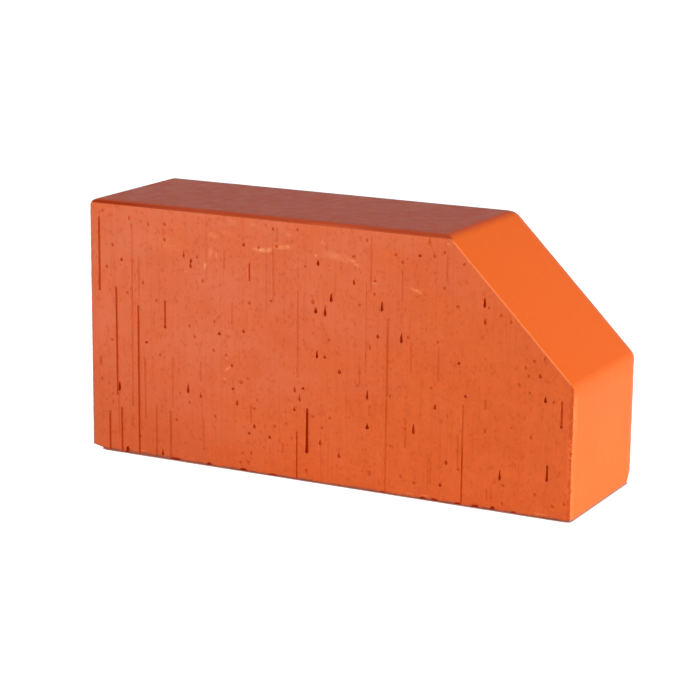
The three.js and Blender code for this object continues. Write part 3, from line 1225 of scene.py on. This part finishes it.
# Light of the studio: where it begins and ends to dim, from 0 at the horizon to 1 overhead, and
# its strength at both.
STUDIO_FADE = (0.15, 0.42, 0.9, 0.1)

# Lamps: place, what each is aimed at, width, height, and power in watts.
LAMPS = {
    "right_lamp": ((1.2, 0.1, 0.12), (0.1, 0, 0.05), 0.8, 0.22, 16.7),
    "front_lamp": ((-0.3, -1.8, 0.45), (0, 0, 0.06), 1.4, 0.8, 20),
    "top_lamp": ((0, -0.2, 1.6), (0, 0, 0), 1.2, 1.2, 5),
}


def floor_light(tree):
    """1 in the open and 0 where the brick keeps the light off the floor."""
    open_air = new_node(tree, "ShaderNodeAmbientOcclusion", {"Distance": CONTACT_REACH})
    metres = new_node(tree, "ShaderNodeTexCoord").outputs["Object"]
    x = fed_node("ShaderNodeSeparateXYZ", {0: metres}).outputs["X"]
    least = larger(span(x, *LIGHT_BY_END), span(x, *LIGHT_BY_BREAK))
    return larger(span(open_air.outputs["AO"], *CONTACT_OPEN), least)


def floor_finish():
    """Matt white that glows to the camera and in reflections, so that it stays white."""
    white = bpy.data.materials.new("white_floor")
    white.use_nodes = True
    tree = white.node_tree
    tree.nodes.clear()
    light = floor_light(tree)
    paint = {"Color": tint(light, CONTACT_SHADE, FLOOR_WHITE)}
    matt = fed_node("ShaderNodeBsdfDiffuse", paint)
    path = new_node(tree, "ShaderNodeLightPath").outputs
    seen = larger(path["Is Camera Ray"], path["Is Glossy Ray"])
    glow_colour = tint(light, CONTACT_SHADE, WHITE)
    lift = {"Color": glow_colour, "Strength": times(seen, FLOOR_GLOW)}
    glow = fed_node("ShaderNodeEmission", lift)
    both = fed_node("ShaderNodeAddShader", {0: matt.outputs[0], 1: glow.outputs[0]})
    fed_node("ShaderNodeOutputMaterial", {"Surface": both.outputs[0]})
    return white


def lay_floor():
    deselect_all()
    bpy.ops.mesh.primitive_plane_add(size=FLOOR_SIZE, location=(0, 0, 0))
    floor = bpy.context.object
    floor.name = "floor"
    floor.data.materials.append(floor_finish())


def light_world():
    """White to the camera; bright at the horizon and dim overhead to everything else."""
    world = bpy.data.worlds.new("studio")
    bpy.context.scene.world = world
    world.use_nodes = True
    tree = world.node_tree
    tree.nodes.clear()
    direction = new_node(tree, "ShaderNodeTexCoord").outputs["Generated"]
    height = fed_node("ShaderNodeSeparateXYZ", {0: direction}).outputs["Z"]
    dimming = {"Color": (*WHITE, 1), "Strength": span(height, *STUDIO_FADE)}
    studio = fed_node("ShaderNodeBackground", dimming)
    white = new_node(tree, "ShaderNodeBackground", {"Color": (*WHITE, 1), "Strength": 1.0})
    to_camera = new_node(tree, "ShaderNodeLightPath").outputs["Is Camera Ray"]
    sides = {0: to_camera, 1: studio.outputs[0], 2: white.outputs[0]}
    seen = fed_node("ShaderNodeMixShader", sides)
    fed_node("ShaderNodeOutputWorld", {"Surface": seen.outputs[0]})


def hang_lamp(name, place, aim, width, height, power):
    lamp = bpy.data.lights.new(name, "AREA")
    lamp.shape = "RECTANGLE"
    lamp.size = width
    lamp.size_y = height
    lamp.energy = power
    holder = new_piece(name, lamp)
    holder.location = place
    holder.rotation_mode = "QUATERNION"
    holder.rotation_quaternion = (Vector(aim) - Vector(place)).to_track_quat("-Z", "Y")


def light_studio():
    light_world()
    for name, lamp in LAMPS.items():
        hang_lamp(name, *lamp)


def place_camera():
    lens = bpy.data.cameras.new("camera")
    lens.lens = LENS_MM
    lens.sensor_width = SENSOR_MM
    camera = new_piece("camera", lens)
    back = Vector((
        math.sin(CAMERA_TURN) * math.cos(CAMERA_RISE),
        -math.cos(CAMERA_TURN) * math.cos(CAMERA_RISE),
        math.sin(CAMERA_RISE),
    ))
    camera.location = AIM + back * CAMERA_DISTANCE
    camera.rotation_mode = "QUATERNION"
    level = (-back).to_track_quat("-Z", "Y")
    camera.rotation_quaternion = level @ Quaternion((0, 0, 1), CAMERA_TILT)
    bpy.context.scene.camera = camera


place_camera()
finish_brick()
lay_floor()
light_studio()
bpy.context.scene.view_settings.view_transform = "Standard"
